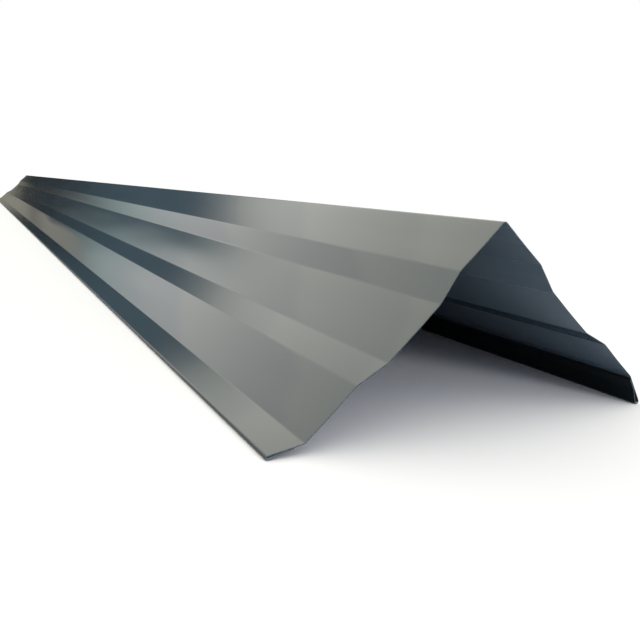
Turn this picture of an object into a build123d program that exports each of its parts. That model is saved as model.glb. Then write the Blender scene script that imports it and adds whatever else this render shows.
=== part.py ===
# Verge flashing: one strip of painted steel sheet, folded lengthways into two swaged wings.
# The near end faces -Y. The wing towards -X ends in a drip lip that kicks outwards, and the
# wing towards +X ends in a lip that turns down. Both lips are hemmed underneath.
from build123d import *
from math import acos, asin, atan2, copysign, cos, degrees, hypot, radians, sin, tan
import os

# Driving dimensions, in millimetres and degrees
stock_length = 3000.0
sheet_thickness = 0.5
wing_slope = 41.0  # fall of each wing, measured from a line square to the ridge's bisector
upper_flat = 36.5  # ridge fold to the first fold of the swage
flank_run = 18.75  # run of each sloping side of the swage, along the wing
recess_flat = 40.0  # floor of the swage
lower_flat = 36.0  # last fold of the swage to the fold of the lip
swage_depth = 4.6  # how far the recess lies inside the wing's outer face
ridge_radius = 1.5  # inside radius of the ridge fold
swage_radius = 6.0  # inside radius of the swage's soft folds
lip_radius = 1.5  # inside radius of the fold between a wing and its lip

drip_lip = 20.0  # fold of the lip to the outside of its hem
drip_kick = 34.0  # turn of the lip outwards from the wing
drip_hem_bore = 1.6  # inside diameter of the hem's loop
drip_hem_run = 7.0  # centre of the loop to where the leaf has closed up to the lip
drip_leaf = 13.0  # centre of the loop to the free edge of the leaf

roof_lip = 22.0
roof_turn = 17.5  # turn of the lip downwards from the wing
roof_hem_bore = 2.6
roof_hem_run = 10.0
roof_leaf = 18.0

leaf_gap = 0.3  # air left between a closed leaf and its lip
leaf_radius = 3.0  # inside radius of the gentle bend that lays a leaf along its lip


def centreline(inside_radius):
    return inside_radius + sheet_thickness / 2


def set_back(turn, radius):
    # length that a fold takes from the flat on each side of it
    return radius * tan(radians(abs(turn)) / 2)


def hem(bore, run, leaf):
    # The loop turns past a half turn, so that its leaf slants back to the lip over the run.
    # A gentle bend the other way then lays the rest of the leaf along the lip.
    loop_radius = centreline(bore / 2)
    spacing = sheet_thickness + leaf_gap
    reach = hypot(run, spacing - loop_radius)
    slant = degrees(atan2(run, spacing - loop_radius) - acos(loop_radius / reach))
    slanted = (run - loop_radius * sin(radians(slant))) / cos(radians(slant))
    bend_radius = centreline(leaf_radius)
    taken = set_back(slant, bend_radius)
    return {
        "loop": (-180 - slant, loop_radius),
        "slanted": slanted - taken,
        "bend": (slant, bend_radius),
        "closed": leaf - run - taken,
        "outside": loop_radius + sheet_thickness / 2,
    }


def folded_strip():
    # Straight runs and turns of the sheet's centreline, from the free edge of the drip hem's
    # leaf over the ridge to the free edge of the roof hem's leaf. A turn to the left is positive.
    flank = hypot(flank_run, swage_depth)
    flank_turn = degrees(atan2(swage_depth, flank_run))
    swage = centreline(swage_radius)
    ridge = centreline(ridge_radius)
    lip = centreline(lip_radius)
    drip_hem = hem(drip_hem_bore, drip_hem_run, drip_leaf)
    roof_hem = hem(roof_hem_bore, roof_hem_run, roof_leaf)

    swage_folds = [(-flank_turn, swage), (flank_turn, swage), (flank_turn, swage), (-flank_turn, swage)]
    swage_flats = [flank, recess_flat, flank]
    flats = [drip_lip - drip_hem["outside"], lower_flat, *swage_flats, upper_flat]
    flats += [upper_flat, *swage_flats, lower_flat, roof_lip - roof_hem["outside"]]
    folds = [(drip_kick, lip), *swage_folds, (-2 * wing_slope, ridge), *swage_folds, (-roof_turn, lip)]

    strip = [(drip_hem["closed"], *drip_hem["bend"]), (drip_hem["slanted"], *drip_hem["loop"])]
    taken = 0.0
    for flat, fold in zip(flats, folds):
        strip.append((flat - taken - set_back(*fold), *fold))
        taken = set_back(*fold)
    strip.append((flats[-1] - taken, *roof_hem["loop"]))
    strip.append((roof_hem["slanted"], *roof_hem["bend"]))
    strip.append((roof_hem["closed"], 0.0, 0.0))
    return strip


def sheet_face(strip, offset):
    # Lines and arcs of one face of the sheet, offset to the left of its centreline
    point = Vector(0, offset)
    heading = 0.0
    lines = []
    for run, turn, radius in strip:
        lines.append(PolarLine(point, run, heading))
        point = lines[-1] @ 1
        if turn:
            face_radius = radius - offset * copysign(1, turn)
            tangent = (cos(radians(heading)), sin(radians(heading)))
            lines.append(JernArc(point, tangent, face_radius, turn))
            point = lines[-1] @ 1
            heading += turn
    return lines


def stand_angle(lines):
    # Turn that stands the section on the outsides of both hem loops at once. Each loop is the
    # fourth piece of the face in from its end, after the closed run, the bend and the slanted run.
    drip_loop, roof_loop = lines[3], lines[-4]
    across = roof_loop.center_point - drip_loop.center_point
    rise = (roof_loop.radius - drip_loop.radius) / across.length
    return degrees(asin(rise) - atan2(across.Y, across.X))


def section():
    strip = folded_strip()
    outer = sheet_face(strip, sheet_thickness / 2)
    inner = sheet_face(strip, -sheet_thickness / 2)
    free_edges = [Line(outer[0] @ 0, inner[0] @ 0), Line(outer[-1] @ 1, inner[-1] @ 1)]
    outline = Wire([*outer, free_edges[1], *inner, free_edges[0]])
    face = make_face(outline).rotate(Axis.Z, stand_angle(outer))
    box = face.bounding_box()
    return Pos(-box.center().X, -box.min.Y) * face


folded_sheet = extrude(Plane.XZ * section(), amount=stock_length / 2, both=True)

os.makedirs("parts", exist_ok=True)
export_step(folded_sheet, "parts/folded_sheet.step")
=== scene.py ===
import math
import bpy
import numpy as np
from mathutils import Matrix, Vector


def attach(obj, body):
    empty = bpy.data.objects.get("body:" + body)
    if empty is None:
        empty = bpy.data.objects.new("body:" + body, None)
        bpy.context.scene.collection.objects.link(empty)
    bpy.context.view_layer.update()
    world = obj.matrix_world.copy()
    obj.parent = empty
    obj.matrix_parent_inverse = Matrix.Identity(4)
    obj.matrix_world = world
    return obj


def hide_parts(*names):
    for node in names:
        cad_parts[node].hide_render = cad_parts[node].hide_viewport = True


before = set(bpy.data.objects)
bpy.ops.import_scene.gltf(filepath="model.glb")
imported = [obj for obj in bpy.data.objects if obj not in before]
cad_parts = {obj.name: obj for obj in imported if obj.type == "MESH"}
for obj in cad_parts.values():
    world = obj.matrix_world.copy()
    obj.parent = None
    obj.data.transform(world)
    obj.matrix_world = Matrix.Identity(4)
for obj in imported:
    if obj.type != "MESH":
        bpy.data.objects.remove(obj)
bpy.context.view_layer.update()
print("frame loaded")

# The photograph's view: a low camera beside the near end, looking along the ridge
cameraSettings = {
    "eye": (-0.24117, -1.74548, 0.11911),
    "look": (0.47435, 0.85861, -0.19439),
    "right": (0.87952, -0.47175, 0.06252),
    "focalPixels": 644.26,
    "imagePixels": 640,
    "sensorWidth": 36.0,
    "clip": (0.01, 100.0),
}


# The lens is the sensor's width times the focal length in pixels over the picture's width in pixels,
# and the camera's up is right cross look
def addCamera(settings):
    look = Vector(settings["look"]).normalized()
    right = Vector(settings["right"])
    right = (right - look * right.dot(look)).normalized()
    up = right.cross(look)
    turn = Matrix((right, up, -look)).transposed().to_4x4()
    data = bpy.data.cameras.new("photoCamera")
    data.sensor_fit = "HORIZONTAL"
    data.sensor_width = settings["sensorWidth"]
    data.lens = settings["sensorWidth"] * settings["focalPixels"] / settings["imagePixels"]
    data.clip_start, data.clip_end = settings["clip"]
    camera = bpy.data.objects.new("photoCamera", data)
    camera.matrix_world = Matrix.Translation(settings["eye"]) @ turn
    bpy.context.scene.collection.objects.link(camera)
    bpy.context.scene.camera = camera


addCamera(cameraSettings)
print("camera placed")


# Shader sockets with arithmetic: an expression on values adds its Math nodes
class Value:
    def __init__(self, tree, socket):
        self.tree = tree
        self.socket = socket

    # The result of one Math node
    def math(self, operation, *inputs):
        return self.tree.node("ShaderNodeMath", {"operation": operation}, inputs)

    def __add__(self, other):
        return self.math("ADD", self, other)

    def __radd__(self, other):
        return self.math("ADD", other, self)

    def __sub__(self, other):
        return self.math("SUBTRACT", self, other)

    def __rsub__(self, other):
        return self.math("SUBTRACT", other, self)

    def __mul__(self, other):
        return self.math("MULTIPLY", self, other)

    def __rmul__(self, other):
        return self.math("MULTIPLY", other, self)

    def __pow__(self, other):
        return self.math("POWER", self, other)

    def __rpow__(self, other):
        return self.math("POWER", other, self)

    def __abs__(self):
        return self.math("ABSOLUTE", self)

    def atLeast(self, other):
        return self.math("MAXIMUM", self, other)

    def atMost(self, other):
        return self.math("MINIMUM", self, other)

    # A smooth rise from 0 at start to 1 at end; start above end gives a fall
    def rise(self, start, end):
        inputs = {"Value": self, "From Min": start, "From Max": end}
        return self.tree.node("ShaderNodeMapRange", {"interpolation_type": "SMOOTHSTEP"}, inputs)


# The node tree of a material or of the world, emptied first
class Tree:
    def __init__(self, nodeTree):
        self.nodeTree = nodeTree
        nodeTree.nodes.clear()

    # Adds a node: its settings first, then the values or links of its sockets, by place or by name
    def node(self, kind, settings=None, inputs=None, output=0):
        made = self.nodeTree.nodes.new(kind)
        for name, value in (settings or {}).items():
            setattr(made, name, value)
        pairs = inputs.items() if isinstance(inputs, dict) else enumerate(inputs or ())
        for key, value in pairs:
            if isinstance(value, Value):
                self.nodeTree.links.new(value.socket, made.inputs[key])
            else:
                made.inputs[key].default_value = value
        return Value(self, made.outputs[output])

    # The first colour where the factor is 0, the second where it is 1
    def mixColour(self, factor, first, second):
        return self.node("ShaderNodeMix", {"data_type": "RGBA"}, {0: factor, 6: first, 7: second}, 2)

    # A number that the mesh keeps at each of its points
    def attribute(self, name):
        return self.node("ShaderNodeAttribute", {"attribute_name": name}, output="Fac")

    # The shaded point in the mesh's own coordinates, in metres
    def objectPlace(self):
        return self.node("ShaderNodeTexCoord", output="Object")

    # World coordinates of the shaded point, one value for each letter
    def worldPlace(self, letters):
        place = self.node("ShaderNodeNewGeometry")
        return [self.node("ShaderNodeSeparateXYZ", None, [place], letter) for letter in letters]

    # Noise on a vector stretched by one scale for each axis; its middle is 0.5
    def noise(self, vector, scale, detail=2.0):
        stretched = self.node("ShaderNodeMapping", None, {"Vector": vector, "Scale": scale})
        inputs = {"Vector": stretched, "Scale": 1.0, "Detail": detail}
        return self.node("ShaderNodeTexNoise", None, inputs)

    # A normal tilted by the slope of the height, which is in lengths of the distance
    def bump(self, height, distance, strength):
        inputs = {"Strength": strength, "Distance": distance, "Height": height}
        return self.node("ShaderNodeBump", None, inputs)

    # Links the shader to the tree's output
    def finish(self, shader, kind="ShaderNodeOutputMaterial"):
        output = self.nodeTree.nodes.new(kind)
        self.nodeTree.links.new(shader.socket, output.inputs["Surface"])


# A material whose tree is still empty
def newMaterial(name):
    material = bpy.data.materials.new(name)
    material.use_nodes = True
    return material, Tree(material.node_tree)


# The folded sheet, in metres and degrees. Widths run from fold to fold, as the part's own do.
sheetSettings = {
    "length": 3.0,
    "thickness": 0.0005,
    "wingSlope": 41.0,
    "upperFlat": 0.0365,
    "flankRun": 0.01875,
    "recessFlat": 0.040,
    "lowerFlat": 0.036,
    "swageDepth": 0.0046,
    "ridgeRadius": 0.0015,
    "swageRadius": 0.006,
    "lipRadius": 0.0015,
    "dripLip": 0.020,
    "dripKick": 34.0,
    "dripHem": {"bore": 0.0016, "run": 0.007, "leaf": 0.013},
    "roofLip": 0.022,
    "roofTurn": 17.5,
    "roofHem": {"bore": 0.0026, "run": 0.010, "leaf": 0.018},
    "leafGap": 0.0003,
    "leafRadius": 0.003,
    "flatStep": 0.004,     # spacing of the profile's points on a flat
    "foldStep": 6.0,       # degrees between them on a fold
    "hemStep": 12.0,       # and on the loop of a hem
    "foldMargin": 0.0004,  # from a fold to the flat's nearest point, which keeps the flat's shading flat
    "ringStep": 0.03,      # spacing of the profiles along the length
    "shearInset": 0.00006,  # how far the shear draws the painted face in at a cut end
    "shearReach": 0.0012,   # and from how far back
    "shearRings": (0.0, 0.3, 0.6),  # shares of the reach that have a profile of their own
    "waveHeight": 0.00022,  # slight waves of thin sheet, in the middle of each wide flat
    "waveFlat": 0.024,      # straight runs shorter than this have none
    "waves": ((0.43, 0.3, 0.5), (0.271, 1.9, 0.3), (0.737, 4.1, 0.6)),  # wavelength, phase, share
    "sharpAngle": 40.0,
}


# From a fold's corner to where its arc begins: the radius times the tangent of half the turn
def bendBack(turn, radius):
    return radius * math.tan(math.radians(abs(turn)) / 2)


# A hem: the loop turns past a half turn, its leaf slants back to the sheet, and a bend lays it flat.
# The slant is the arctangent of the run over the rise less the arccosine of the loop's radius over
# their hypotenuse, so the slanted leaf is a tangent of the loop.
def hemRuns(hem, settings):
    half = settings["thickness"] / 2
    loopRadius = hem["bore"] / 2 + half
    rise = settings["thickness"] + settings["leafGap"] - loopRadius
    slant = math.atan2(hem["run"], rise) - math.acos(loopRadius / math.hypot(hem["run"], rise))
    bend = (math.degrees(slant), settings["leafRadius"] + half)
    slanted = (hem["run"] - loopRadius * math.sin(slant)) / math.cos(slant)
    return {
        "loop": (-180 - bend[0], loopRadius),
        "slanted": slanted - bendBack(*bend),
        "bend": bend,
        "closed": hem["leaf"] - hem["run"] - bendBack(*bend),
        "outside": loopRadius + half,
    }


# The sheet's width as straight runs, each with the turn and centreline radius of the fold after it.
# A run is its flat less what the folds at its two ends take.
def foldedStrip(settings):
    half = settings["thickness"] / 2
    flank = math.hypot(settings["flankRun"], settings["swageDepth"])
    turn = math.degrees(math.atan2(settings["swageDepth"], settings["flankRun"]))
    swage = settings["swageRadius"] + half
    lip = settings["lipRadius"] + half
    ridge = settings["ridgeRadius"] + half
    drip = hemRuns(settings["dripHem"], settings)
    roof = hemRuns(settings["roofHem"], settings)
    swageFolds = [(-turn, swage), (turn, swage), (turn, swage), (-turn, swage)]
    swageFlats = [flank, settings["recessFlat"], flank]
    flats = [settings["dripLip"] - drip["outside"], settings["lowerFlat"], *swageFlats]
    flats += [settings["upperFlat"], settings["upperFlat"], *swageFlats]
    flats += [settings["lowerFlat"], settings["roofLip"] - roof["outside"]]
    folds = [(settings["dripKick"], lip), *swageFolds, (-2 * settings["wingSlope"], ridge)]
    folds += [*swageFolds, (-settings["roofTurn"], lip)]
    strip = [(drip["closed"], *drip["bend"]), (drip["slanted"], *drip["loop"])]
    taken = 0.0
    for flat, fold in zip(flats, folds):
        strip.append((flat - taken - bendBack(*fold), *fold))
        taken = bendBack(*fold)
    strip.append((flats[-1] - taken, *roof["loop"]))
    strip.append((roof["slanted"], *roof["bend"]))
    strip.append((roof["closed"], 0.0, 0.0))
    return np.array(strip)


# Where the profile's points lie along the centreline: even steps, and one close to each end of a flat.
# Only a hem's loop turns by more than a quarter turn.
def profileStations(strip, marks, settings):
    stations = []
    margin = settings["foldMargin"]
    for index, (run, turn, radius) in enumerate(strip):
        first, last, after = marks[2 * index:2 * index + 3]
        pieces = max(2, math.ceil(run / settings["flatStep"]))
        stations += [[first], np.linspace(first + margin, last - margin, pieces)]
        if radius:
            step = settings["hemStep"] if abs(turn) > 90 else settings["foldStep"]
            stations.append(np.linspace(last, after, math.ceil(abs(turn) / step), endpoint=False))
    return np.concatenate([*stations, marks[-1:]])


# The profile: the heading is a function of the distance along the centreline, constant on a run and
# linear on a fold. A step between two stations is its arc's chord, the step times sinc of half the
# turn, so every point lies on the true curve. The section then stands on its two hem loops.
def sheetProfile(settings):
    half = settings["thickness"] / 2
    strip = foldedStrip(settings)
    runs, turns, radii = strip.T
    steps = np.column_stack([runs, np.radians(np.abs(turns)) * radii]).ravel()[:-1]
    turned = np.column_stack([runs * 0, np.radians(turns)]).ravel()[:-1]
    marks = np.concatenate([[0.0], np.cumsum(steps)])
    headings = np.concatenate([[0.0], np.cumsum(turned)])
    distance = profileStations(strip, np.append(marks, marks[-1]), settings)
    heading = np.interp(distance, marks, headings)
    chord = np.diff(distance) * np.sinc(np.diff(heading) / 2 / np.pi)
    middle = (heading[1:] + heading[:-1]) / 2
    direction = np.column_stack([np.cos(middle), np.sin(middle)])
    centre = np.zeros((len(distance), 2))
    centre[1:] = np.cumsum(chord[:, None] * direction, axis=0)

    # A loop turns right, so its centre lies a radius to the right of where it begins
    loopCentres = []
    for mark, radius in ((marks[3], radii[1]), (marks[-5], radii[-3])):
        angle = np.interp(mark, marks, headings)
        start = np.array([np.interp(mark, distance, centre[:, axis]) for axis in (0, 1)])
        loopCentres.append(start + radius * np.array([math.sin(angle), -math.cos(angle)]))
    across = loopCentres[1] - loopCentres[0]
    stand = math.asin((radii[-3] - radii[1]) / np.linalg.norm(across))
    stand -= math.atan2(across[1], across[0])
    turn = np.array([[math.cos(stand), math.sin(stand)], [-math.sin(stand), math.cos(stand)]])
    centre = centre @ turn
    normal = np.column_stack([-np.sin(heading + stand), np.cos(heading + stand)])
    faces = np.concatenate([centre + normal * half, centre - normal * half])
    low, high = faces.min(0), faces.max(0)
    centre = centre - [(low[0] + high[0]) / 2, low[1]]

    # The waves' window is the squared sine of pi times the share of the way across a wide flat
    window = np.zeros(len(distance))
    for first, last in marks.reshape(-1, 2):  # where each straight run begins and ends
        if last - first > settings["waveFlat"]:
            share = np.clip((distance - first) / (last - first), 0, 1)
            window += np.sin(np.pi * share) ** 2

    # Fold is the curvature. Tucked rises from 0 to 1 round a hem's loop and stays 1 on its leaf, and
    # crook rises across the fold of a lip and stays 1 from there to the free edge. The paints place
    # their painted shade, and the painted highlight inside the loops, by these two.
    tucked = 1.0 - np.clip((distance - marks[3]) / (marks[4] - marks[3]), 0, 1)
    tucked += np.clip((distance - marks[-5]) / (marks[-4] - marks[-5]), 0, 1)
    crook = np.clip((marks[6] - distance) / (marks[6] - marks[5]), 0, 1)
    crook += np.clip((distance - marks[-7]) / (marks[-6] - marks[-7]), 0, 1)
    spread = {"fold": np.abs(np.gradient(heading, distance)), "tucked": tucked, "crook": crook}
    return distance, centre, normal, window, spread


# The sheet: the profile's two faces, half a thickness to each side, carried along the length. A point
# moves along its normal by the waves' height, the window times a sum of sines of the length, and near
# a cut end the painted face draws in by the shear's inset times the square of its share of the reach.
def makeSheet(settings):
    distance, centre, normal, window, spread = sheetProfile(settings)
    half = settings["length"] / 2
    reach = settings["shearReach"]
    count = round(settings["length"] / settings["ringStep"])
    inner = np.linspace(-half + reach, half - reach, count)
    near = -half + reach * np.array(settings["shearRings"])
    along = np.concatenate([near, inner, -near[::-1]])
    waves = np.zeros(len(along))
    for wavelength, phase, share in settings["waves"]:
        waves += share * np.sin(2 * np.pi * along / wavelength + phase)
    height = settings["waveHeight"] * waves[:, None] * window
    toEnd = np.clip(1 - (half - np.abs(along)) / reach, 0, 1)
    inset = settings["shearInset"] * toEnd[:, None] ** 2 * np.ones(len(distance))

    front = centre + (height + settings["thickness"] / 2 - inset)[..., None] * normal
    back = centre + (height - settings["thickness"] / 2)[..., None] * normal
    ring = np.concatenate([front, back[:, ::-1]], axis=1)
    rings, points = ring.shape[:2]
    place = np.empty((rings, points, 3))
    place[..., 0] = ring[..., 0]
    place[..., 1] = along[:, None]
    place[..., 2] = ring[..., 1]

    index = np.arange(rings * points).reshape(rings, points)
    turned = np.roll(index, -1, axis=1)
    walls = np.stack([index[:-1], turned[:-1], turned[1:], index[1:]], axis=-1).reshape(-1, 4)
    width = len(distance)
    onFront = np.arange(width - 1)
    cap = np.stack([onFront, onFront + 1, points - 2 - onFront, points - 1 - onFront], axis=-1)
    nearCap = index[0][cap][:, ::-1]
    farCap = index[-1][cap]
    faces = np.concatenate([walls, nearCap, farCap])

    # 0 painted front and the two slit edges, 1 back coat, 2 sheared ends, 3 the hems' leaves
    side = np.zeros(points, dtype=int)
    side[width:points - 1] = 1
    onLeaf = np.isclose(spread["tucked"], 1)
    side[:width - 1][onLeaf[:-1] & onLeaf[1:]] = 3
    material = np.concatenate([np.tile(side, rings - 1), np.full(2 * len(cap), 2)])

    mesh = bpy.data.meshes.new("foldedSheet")
    mesh.from_pydata(place.reshape(-1, 3), [], faces)
    mesh.polygons.foreach_set("material_index", material)
    mesh.polygons.foreach_set("use_smooth", np.ones(len(faces), dtype=bool))

    # The map is in lengths of the sheet, across its width and along it; the back lies beside the front
    back = 2 * distance[-1] - distance[::-1] + settings["thickness"]
    ringWidth = np.concatenate([distance, back])
    mapped = np.stack(np.broadcast_arrays(ringWidth, along[:, None] + half), axis=-1)
    corners = np.zeros(len(mesh.loops), dtype=np.int32)
    mesh.loops.foreach_get("vertex_index", corners)
    layer = mesh.uv_layers.new(name="sheetMap")
    layer.uv.foreach_set("vector", (mapped.reshape(-1, 2)[corners] / settings["length"]).ravel())
    for name, values in spread.items():
        layer = mesh.attributes.new(name, "FLOAT", "POINT")
        layer.data.foreach_set("value", np.tile(np.concatenate([values, values[::-1]]), rings))
    mesh.set_sharp_from_angle(angle=math.radians(settings["sharpAngle"]))
    mesh.update()
    made = bpy.data.objects.new("foldedSheet", mesh)
    bpy.context.scene.collection.objects.link(made)
    return made


# Satin polyester coil coating: a dark slate colour under a smooth, slightly uneven gloss
frontSettings = {
    "slate": (0.030, 0.043, 0.054, 1.0),
    "slateLight": (0.036, 0.050, 0.061, 1.0),
    "stretched": (0.060, 0.075, 0.085, 1.0),  # where a tight fold has stretched the film
    "tucked": (0.005, 0.007, 0.009, 1.0),     # painted shade where a hem's loop turns under
    "stretch": 0.35,
    "tightFold": (250.0, 900.0),  # radians per metre of curvature between which a fold turns tight
    "turnUnder": (0.0, 0.4),      # shares of the loop between which it turns under
    "roughness": 0.115,
    "rollRoughness": 0.04,
    "cloudRoughness": 0.04,
    "tightRoughness": 0.08,
    "tuckedRoughness": 0.25,
    "coatWeight": 0.6,
    "coatRoughness": 0.07,
    "cloudScale": (9.0, 3.0, 9.0),
    "cloudBand": (0.3, 0.7),
    "rollScale": (160.0, 2.2, 160.0),  # lines left by the coating rollers, along the strip
    "peelScale": (420.0, 300.0, 420.0),
    "peelHeight": 0.00002,
    "peelStrength": 0.2,
}


# The colour mixes the two slates by cloud, then the stretched film by how tight the fold is, then the
# painted shade where the film turns under. The roughness is the paint's own plus a share of each
# pattern.
def paintFront(settings):
    material, tree = newMaterial("paintedFront")
    place = tree.objectPlace()
    cloud = tree.noise(place, settings["cloudScale"], detail=3.0)
    roll = tree.noise(place, settings["rollScale"])
    peel = tree.noise(place, settings["peelScale"])
    tight = tree.attribute("fold").rise(*settings["tightFold"])
    tucked = tree.attribute("tucked").rise(*settings["turnUnder"])
    clouded = cloud.rise(*settings["cloudBand"])
    slate = tree.mixColour(clouded, settings["slate"], settings["slateLight"])
    stretched = tree.mixColour(tight * settings["stretch"], slate, settings["stretched"])
    roughness = settings["roughness"] + (roll - 0.5) * settings["rollRoughness"]
    roughness += (cloud - 0.5) * settings["cloudRoughness"]
    roughness += tight * settings["tightRoughness"]
    roughness += tucked * settings["tuckedRoughness"]
    surface = tree.node("ShaderNodeBsdfPrincipled", None, {
        "Base Color": tree.mixColour(tucked, stretched, settings["tucked"]),
        "Roughness": roughness,
        "IOR": 1.5,
        "Coat Weight": (1 - tucked) * settings["coatWeight"],
        "Coat Roughness": settings["coatRoughness"],
        "Coat IOR": 1.5,
        "Normal": tree.bump(peel, settings["peelHeight"], settings["peelStrength"]),
    })
    tree.finish(surface)
    return material


# The hems' leaves: the front's paint where it is folded under, near black as painted shade, dull and
# with little gloss
leafSettings = {
    "slate": (0.006, 0.009, 0.011, 1.0),
    "slateLight": (0.009, 0.012, 0.014, 1.0),
    "roughness": 0.7,
    "mottleRoughness": 0.1,
    "specular": 0.05,
    "mottleScale": (90.0, 6.0, 90.0),
    "mottleBand": (0.35, 0.65),
}


# A mottle mixes the two near-black slates of painted shade and roughens the paint by a share of its
# distance from the middle
def paintLeaf(settings):
    material, tree = newMaterial("shadedLeaf")
    mottle = tree.noise(tree.objectPlace(), settings["mottleScale"], detail=3.0)
    mottled = mottle.rise(*settings["mottleBand"])
    surface = tree.node("ShaderNodeBsdfPrincipled", None, {
        "Base Color": tree.mixColour(mottled, settings["slate"], settings["slateLight"]),
        "Roughness": settings["roughness"] + (mottle - 0.5) * settings["mottleRoughness"],
        "IOR": 1.5,
        "Specular IOR Level": settings["specular"],
    })
    tree.finish(surface)
    return material


# Back coat: a bluer slate, thinner and duller, with the rollers' lines showing more. The slate is
# painted shade for the strip's underside; the coat itself is a lighter grey.
backSettings = {
    "slate": (0.054, 0.090, 0.122, 1.0),
    "slateLight": (0.062, 0.100, 0.132, 1.0),
    "pale": (0.45, 0.53, 0.58, 1.0),      # painted highlight: a pale grey inside the hems' loops
    "paleFrom": (0.1, 0.6),               # shares of the loop between which it comes in
    "crook": (0.012, 0.018, 0.023, 1.0),  # painted shade on the back of the lips, beside their hems' leaves
    "crookFrom": (0.0, 0.8),              # shares of the lip's fold between which it comes in
    "roughness": 0.20,
    "rollRoughness": 0.12,
    "coatWeight": 0.7,
    "coatRoughness": 0.10,
    "cloudScale": (7.0, 2.5, 7.0),
    "rollScale": (120.0, 1.6, 120.0),
    "patchBand": (0.35, 0.65),
    "grainScale": (700.0, 500.0, 700.0),
    "grainHeight": 0.00002,
    "grainStrength": 0.3,
}


# The mean of the clouds and the rollers' lines mixes the two slates of painted shade. The crook's
# painted shade goes over them, and over that the pale painted highlight. The roughness is the coat's own
# plus a share of the lines.
def paintBack(settings):
    material, tree = newMaterial("backCoat")
    place = tree.objectPlace()
    cloud = tree.noise(place, settings["cloudScale"], detail=3.0)
    roll = tree.noise(place, settings["rollScale"])
    grain = tree.noise(place, settings["grainScale"])
    patch = (cloud * 0.5 + roll * 0.5).rise(*settings["patchBand"])
    slate = tree.mixColour(patch, settings["slate"], settings["slateLight"])
    tucked = tree.attribute("tucked").rise(*settings["paleFrom"])
    crook = tree.attribute("crook").rise(*settings["crookFrom"])
    beside = tree.mixColour(crook, slate, settings["crook"])
    surface = tree.node("ShaderNodeBsdfPrincipled", None, {
        "Base Color": tree.mixColour(tucked, beside, settings["pale"]),
        "Roughness": settings["roughness"] + (roll - 0.5) * settings["rollRoughness"],
        "IOR": 1.5,
        "Coat Weight": (1 - crook) * settings["coatWeight"],
        "Coat Roughness": settings["coatRoughness"],
        "Coat IOR": 1.5,
        "Normal": tree.bump(grain, settings["grainHeight"], settings["grainStrength"]),
    })
    tree.finish(surface)
    return material


# The bare cut of the two ends: dark grey steel with a smear of zinc
edgeSettings = {
    "steel": (0.032, 0.048, 0.064, 1.0),
    "zinc": (0.075, 0.105, 0.130, 1.0),
    "metallic": 0.2,
    "roughness": 0.55,
    "smearRoughness": 0.2,
    "smearScale": (900.0, 900.0, 900.0),
    "smearBand": (0.42, 0.62),
}


# The smear mixes steel with zinc and roughens the cut by a share of its distance from the middle
def cutEdge(settings):
    material, tree = newMaterial("shearedEdge")
    smear = tree.noise(tree.objectPlace(), settings["smearScale"], detail=3.0)
    smeared = smear.rise(*settings["smearBand"])
    surface = tree.node("ShaderNodeBsdfPrincipled", None, {
        "Base Color": tree.mixColour(smeared, settings["steel"], settings["zinc"]),
        "Metallic": settings["metallic"],
        "Roughness": settings["roughness"] + (smear - 0.5) * settings["smearRoughness"],
    })
    tree.finish(surface)
    return material


sheet = makeSheet(sheetSettings)
finishes = [paintFront(frontSettings), paintBack(backSettings), cutEdge(edgeSettings)]
for finish in [*finishes, paintLeaf(leafSettings)]:
    sheet.data.materials.append(finish)
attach(sheet, "root")
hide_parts("folded_sheet")
print("folded sheet made,", len(sheet.data.polygons), "faces")


# One flat face through the corners, which belongs to the studio and not to the object
def flatMesh(name, corners, material):
    mesh = bpy.data.meshes.new(name)
    mesh.from_pydata(corners, [], [range(len(corners))])
    mesh.materials.append(material)
    made = bpy.data.objects.new(name, mesh)
    bpy.context.scene.collection.objects.link(made)
    return made


# An upright sheet that only the strip's gloss shows: it gives no light and no shadow of its own
def mirroredSheet(name, settings, material):
    (left, right), y, top = settings["sides"], settings["distance"], settings["height"]
    corners = [(left, y, 0), (right, y, 0), (right, y, top), (left, y, top)]
    made = flatMesh(name, corners, material)
    for ray in ("camera", "diffuse", "transmission", "shadow"):
        setattr(made, "visible_" + ray, False)


# 1 for a camera, glossy or transmission ray, and 0 for the rays that carry light
def seenDirectly(tree):
    rays = ("Is Camera Ray", "Is Glossy Ray", "Is Transmission Ray")
    camera, glossy, transmission = [tree.node("ShaderNodeLightPath", output=ray) for ray in rays]
    return camera.atLeast(glossy).atLeast(transmission)


# An even surround, which is plain white where it is seen
surroundSettings = {
    "level": 0.78,
    "colour": (0.84, 0.86, 0.98, 1.0),
}


# Its strength is 1 where it is seen and the level elsewhere
def addSurround(settings):
    world = bpy.data.worlds.new("studio")
    bpy.context.scene.world = world
    world.use_nodes = True
    tree = Tree(world.node_tree)
    seen = seenDirectly(tree)
    strength = settings["level"] + seen * (1.0 - settings["level"])
    colour = tree.mixColour(seen, settings["colour"], (1.0, 1.0, 1.0, 1.0))
    surround = tree.node("ShaderNodeBackground", None, {"Color": colour, "Strength": strength})
    tree.finish(surround, "ShaderNodeOutputWorld")


# A pale matt floor, which keeps the strip's shadow and turns white further away
floorSettings = {
    "colour": (0.945, 0.94, 0.975, 1.0),
    "size": 60.0,
    "strip": (0.13, 1.5),  # half the strip's width and length
    "fade": (0.25, 1.3),   # distances from the strip between which the floor turns white
}


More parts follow.
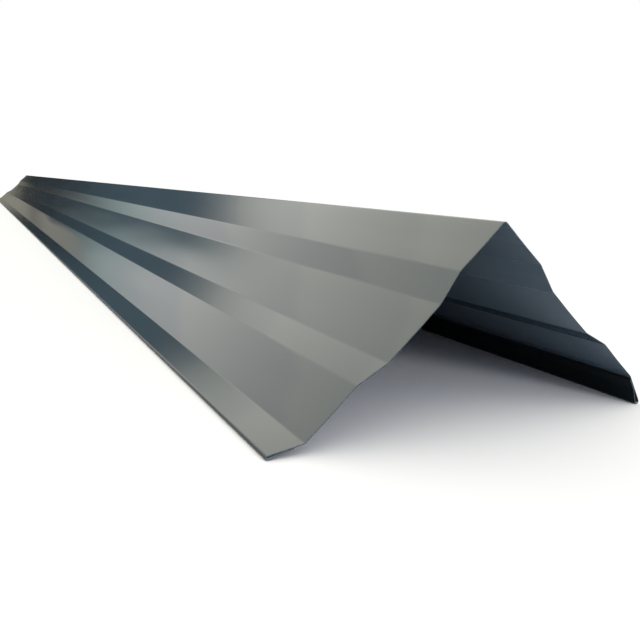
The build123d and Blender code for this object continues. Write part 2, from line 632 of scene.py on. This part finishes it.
# The distance from the strip is the root of the sum of the squares of how far x and y lie outside it
def addFloor(settings):
    material, tree = newMaterial("paleFloor")
    x, y = tree.worldPlace("XY")
    halfWidth, halfLength = settings["strip"]
    beside = (abs(x) - halfWidth).atLeast(0.0)
    beyond = (abs(y) - halfLength).atLeast(0.0)
    away = (beside ** 2.0 + beyond ** 2.0) ** 0.5
    white = seenDirectly(tree) * away.rise(*settings["fade"])
    matt = tree.node("ShaderNodeBsdfDiffuse", None, {"Color": settings["colour"]})
    glow = tree.node("ShaderNodeEmission", None, {"Color": (1.0, 1.0, 1.0, 1.0), "Strength": 1.0})
    tree.finish(tree.node("ShaderNodeMixShader", None, [white, matt, glow]))
    size = settings["size"]
    corners = [(-size, -size, 0), (size, -size, 0), (size, size, 0), (-size, size, 0)]
    flatMesh("floor", corners, material)


# A panel's energy is its level times pi times its area
def addPanel(name, size, colour, level, place, target):
    data = bpy.data.lights.new(name, "AREA")
    data.shape = "RECTANGLE"
    data.size, data.size_y = size
    data.color = colour
    data.energy = level * math.pi * size[0] * size[1]
    panel = bpy.data.objects.new(name, data)
    towards = (Vector(target) - Vector(place)).to_track_quat("-Z", "Y").to_matrix().to_4x4()
    panel.matrix_world = Matrix.Translation(place) @ towards
    bpy.context.scene.collection.objects.link(panel)
    return panel


# A wide softbox overhead: three panels over each other, so that its light thins out with distance
softboxSettings = {
    "level": 0.20,
    "colour": (1.0, 0.985, 0.60),
    "width": 16.0,
    "middle": -1.0,
    "start": -6.0,
    "ends": (5.0, 8.5, 16.0),
    "height": 5.0,
    "gap": 0.1,
}


# The panels begin at one place, and each reaches further than the one under it
def addSoftbox(settings):
    x, start, colour, level = [settings[key] for key in ("middle", "start", "colour", "level")]
    for index, end in enumerate(settings["ends"]):
        y, z = (start + end) / 2, settings["height"] + index * settings["gap"]
        size = (settings["width"], end - start)
        addPanel("softbox" + str(index), size, colour, level, (x, y, z), (x, y, 0.0))


# A small low panel behind the camera, to its right, which lights the floor under the near end
frontPanelSettings = {
    "level": 16.0,
    "colour": (1.0, 1.0, 1.0),
    "size": (0.9, 0.7),
    "place": (0.85, -4.0, 0.60),
    "target": (0.05, -1.5, 0.03),
}


# The panel's settings are addPanel's own
def addFrontPanel(settings):
    panel = addPanel("frontPanel", **settings)
    panel.visible_glossy = False  # it gives light, and no highlight of its own


# A dark backdrop far beyond the strip's other end, which its low reflections show. It thins out
# above, more so to the left, and stands on a pale foot.
backdropSettings = {
    "distance": 12.0,
    "sides": (-9.0, 12.0),
    "height": 10.5,
    "rightTop": (4.0, 6.7),  # heights between which it thins out
    "rightLean": 0.13,       # how much higher that is for each metre to the right
    "leanEnd": 3.0,          # and how far to the right that goes on
    "rightHeights": (0.8, 3.4),
    "rightColour": (0.060, 0.100, 0.130, 1.0),
    "leftToRight": (-1.52, -0.15),
    "leftLean": 0.15,
    "leftTop": (0.67, 4.05),
    "leftHeights": (1.2, 2.5),
    "leftColour": (0.01, 0.20, 0.18, 1.0),
    "lowColour": (0.008, 0.010, 0.013, 1.0),
    "footTop": (0.62, 0.92),
    "footLean": 0.18,
    "footColour": (0.28, 0.27, 0.22, 1.0),
}


# How solid the cloth is: each side's share times one minus its rise with height, added up. Each side's
# colour goes from the low one to its own with height, and the foot's colour lies under both.
def addBackdrop(settings):
    material, tree = newMaterial("backdrop")
    x, z = tree.worldPlace("XZ")
    onRight = (x + z * settings["leftLean"]).rise(*settings["leftToRight"])
    leaning = z - x.atMost(settings["leanEnd"]) * settings["rightLean"]
    solidRight = 1 - leaning.rise(*settings["rightTop"])
    solidLeft = 1 - z.rise(*settings["leftTop"])
    solid = onRight * solidRight + (1 - onRight) * solidLeft
    highRight, highLeft = z.rise(*settings["rightHeights"]), z.rise(*settings["leftHeights"])
    right = tree.mixColour(highRight, settings["lowColour"], settings["rightColour"])
    left = tree.mixColour(highLeft, settings["lowColour"], settings["leftColour"])
    foot = (z - x * settings["footLean"]).rise(*settings["footTop"])
    colour = tree.mixColour(foot, settings["footColour"], tree.mixColour(onRight, left, right))
    cloth = tree.node("ShaderNodeEmission", None, {"Color": colour, "Strength": 1.0})
    clear = tree.node("ShaderNodeBsdfTransparent")
    tree.finish(tree.node("ShaderNodeMixShader", None, [solid, clear, cloth]))
    mirroredSheet("backdrop", settings, material)


# A low pale card beyond the far end, to the left, which only the lower flat shows
cardSettings = {
    "distance": 2.0,
    "sides": (-0.80, -0.09),
    "height": 0.50,
    "top": (0.34, 0.48),
    "edge": -0.115,        # where its right side fades
    "edgeSoftness": 0.02,
    "lean": (0.71, 0.12),  # how far the edge leans to the left for each metre above a height
    "seam": (0.14, 0.18, 0.23),  # heights of its lower side, its middle and its upper side
    "colour": (0.27, 0.26, 0.22, 1.0),
    "seamColour": (0.135, 0.13, 0.11, 1.0),
}


# The card is solid to the left of its edge and below its top. The seam is a rise times a fall.
def addCard(settings):
    material, tree = newMaterial("paleCard")
    x, z = tree.worldPlace("XZ")
    lean, above = settings["lean"]
    edge = x + (z - above).atLeast(0.0) * lean - settings["edge"]
    low, middle, high = settings["seam"]
    seam = z.rise(low, middle) * z.rise(high, middle)
    softness = settings["edgeSoftness"]
    solid = edge.rise(softness, -softness) * z.rise(*reversed(settings["top"]))
    colour = tree.mixColour(seam, settings["colour"], settings["seamColour"])
    glow = tree.node("ShaderNodeEmission", None, {"Color": colour, "Strength": 1.0})
    clear = tree.node("ShaderNodeBsdfTransparent")
    tree.finish(tree.node("ShaderNodeMixShader", None, [solid, clear, glow]))
    mirroredSheet("paleCard", settings, material)


addSurround(surroundSettings)
addFloor(floorSettings)
addSoftbox(softboxSettings)
addFrontPanel(frontPanelSettings)
addBackdrop(backdropSettings)
addCard(cardSettings)
bpy.context.scene.view_settings.view_transform = "Standard"
print("studio lit")
